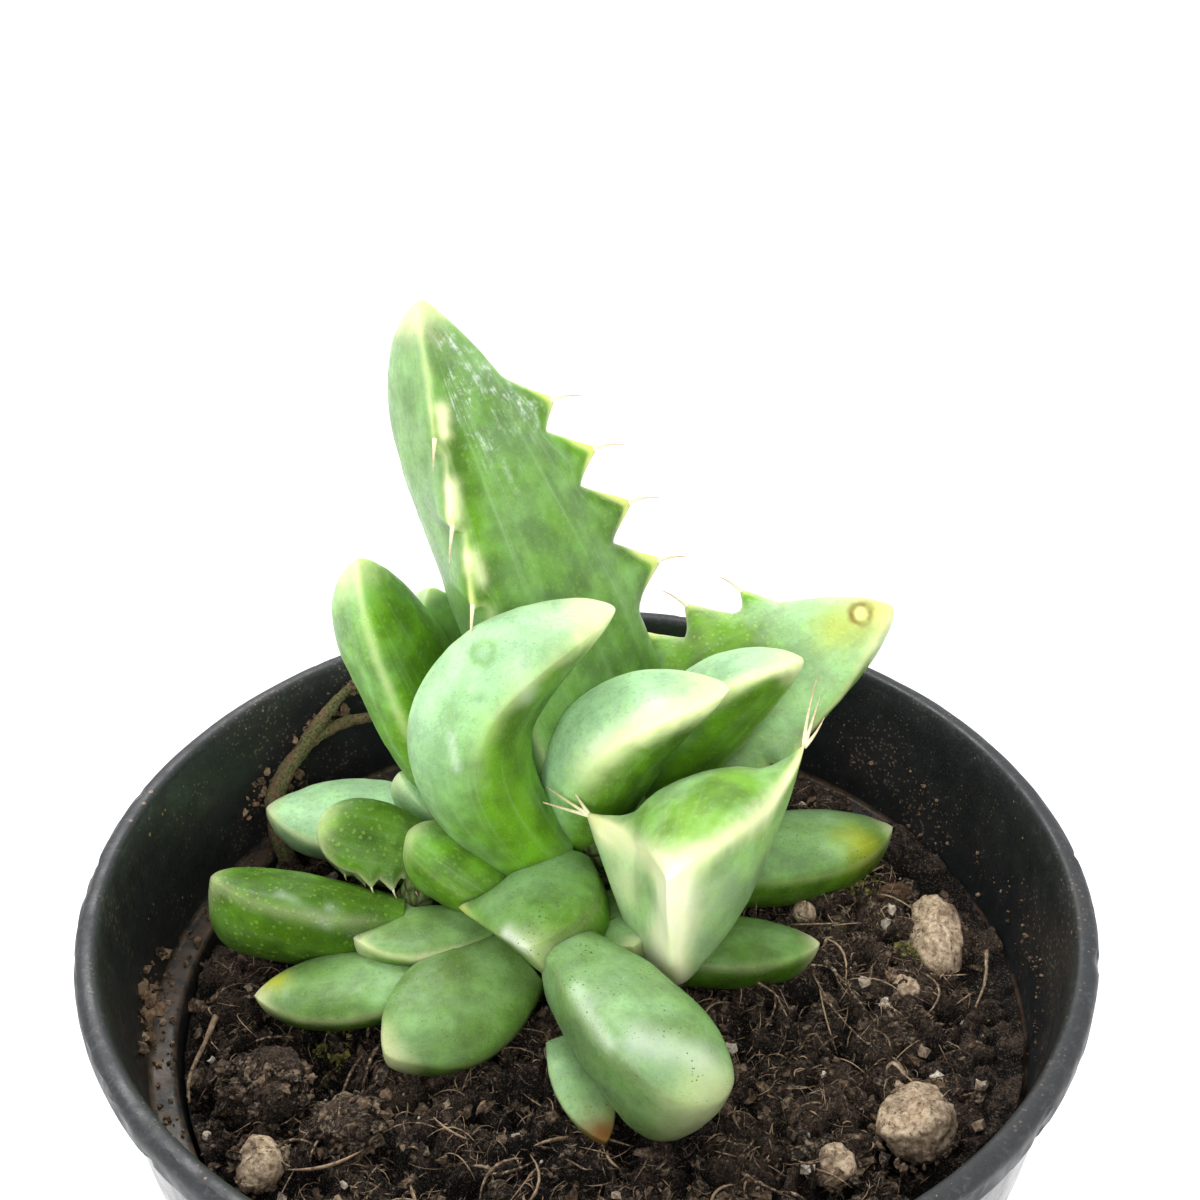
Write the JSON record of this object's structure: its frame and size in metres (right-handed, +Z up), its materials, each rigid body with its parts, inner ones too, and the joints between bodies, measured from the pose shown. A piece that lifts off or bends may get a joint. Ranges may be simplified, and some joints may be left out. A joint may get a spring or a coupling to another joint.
{
  "type": "potted variegated tiger jaws",
  "caption": "Small tiger jaws succulent with thick keeled leaves and toothed, cream-edged margins, in dark soil in a round black nursery pot.",
  "frame": {"origin": "middle of the pot's flat bottom", "axes": "+Z up through the pot; the front of the plant, with the leaf that points at the viewer, faces -Y; +X to the viewer's right"},
  "size_m": [0.064, 0.064, 0.0847],
  "materials": {
    "pot_plastic": "satin black moulded plastic, dusty inside",
    "potting_soil": "damp peat and coir with fibres",
    "stem": "soft green stem",
    "leaf": "waxy green with cream margins, tips and keels",
    "perlite": "pale porous grains",
    "bark": "rough brown chip",
    "mossy_root": "dry root with moss"
  },
  "bodies": {
    "root": {"pot": "pot_plastic", "main_stem": "stem", "offset_stem": "stem", "front_toothed_leaf": "leaf", "crescent_leaf": "leaf", "inner_right_leaf": "leaf", "outer_right_leaf": "leaf", "tall_back_leaf": "leaf", "back_right_toothed_leaf": "leaf", "short_front_leaf": "leaf", "broad_front_leaf": "leaf", "left_upright_leaf": "leaf", "small_back_leaf": "leaf", "offset_finger_leaf": "leaf", "offset_inner_leaf": "leaf", "offset_outer_leaf": "leaf", "offset_front_leaf": "leaf", "left_low_leaf": "leaf", "front_left_leaf": "leaf", "dry_tipped_leaf": "leaf", "front_right_low_leaf": "leaf", "right_low_leaf": "leaf", "left_back_low_leaf": "leaf", "left_inner_leaf": "leaf", "small_spiny_leaf": "leaf", "offset_back_leaf": "leaf", "hidden_back_left_leaf": "leaf", "hidden_back_right_leaf": "leaf", "perlite_right_large": "perlite", "perlite_front_large": "perlite", "pebble_right": "perlite", "pebble_front": "perlite", "pebble_front_right": "perlite", "perlite_left": "perlite", "pebble_under_leaf": "leaf", "bark_chip_right": "bark", "clod_left_large": "potting_soil", "clod_left_small": "potting_soil", "clod_front": "potting_soil", "mossy_root": "mossy_root", "soil": "potting_soil"}
  },
  "joints": []
}
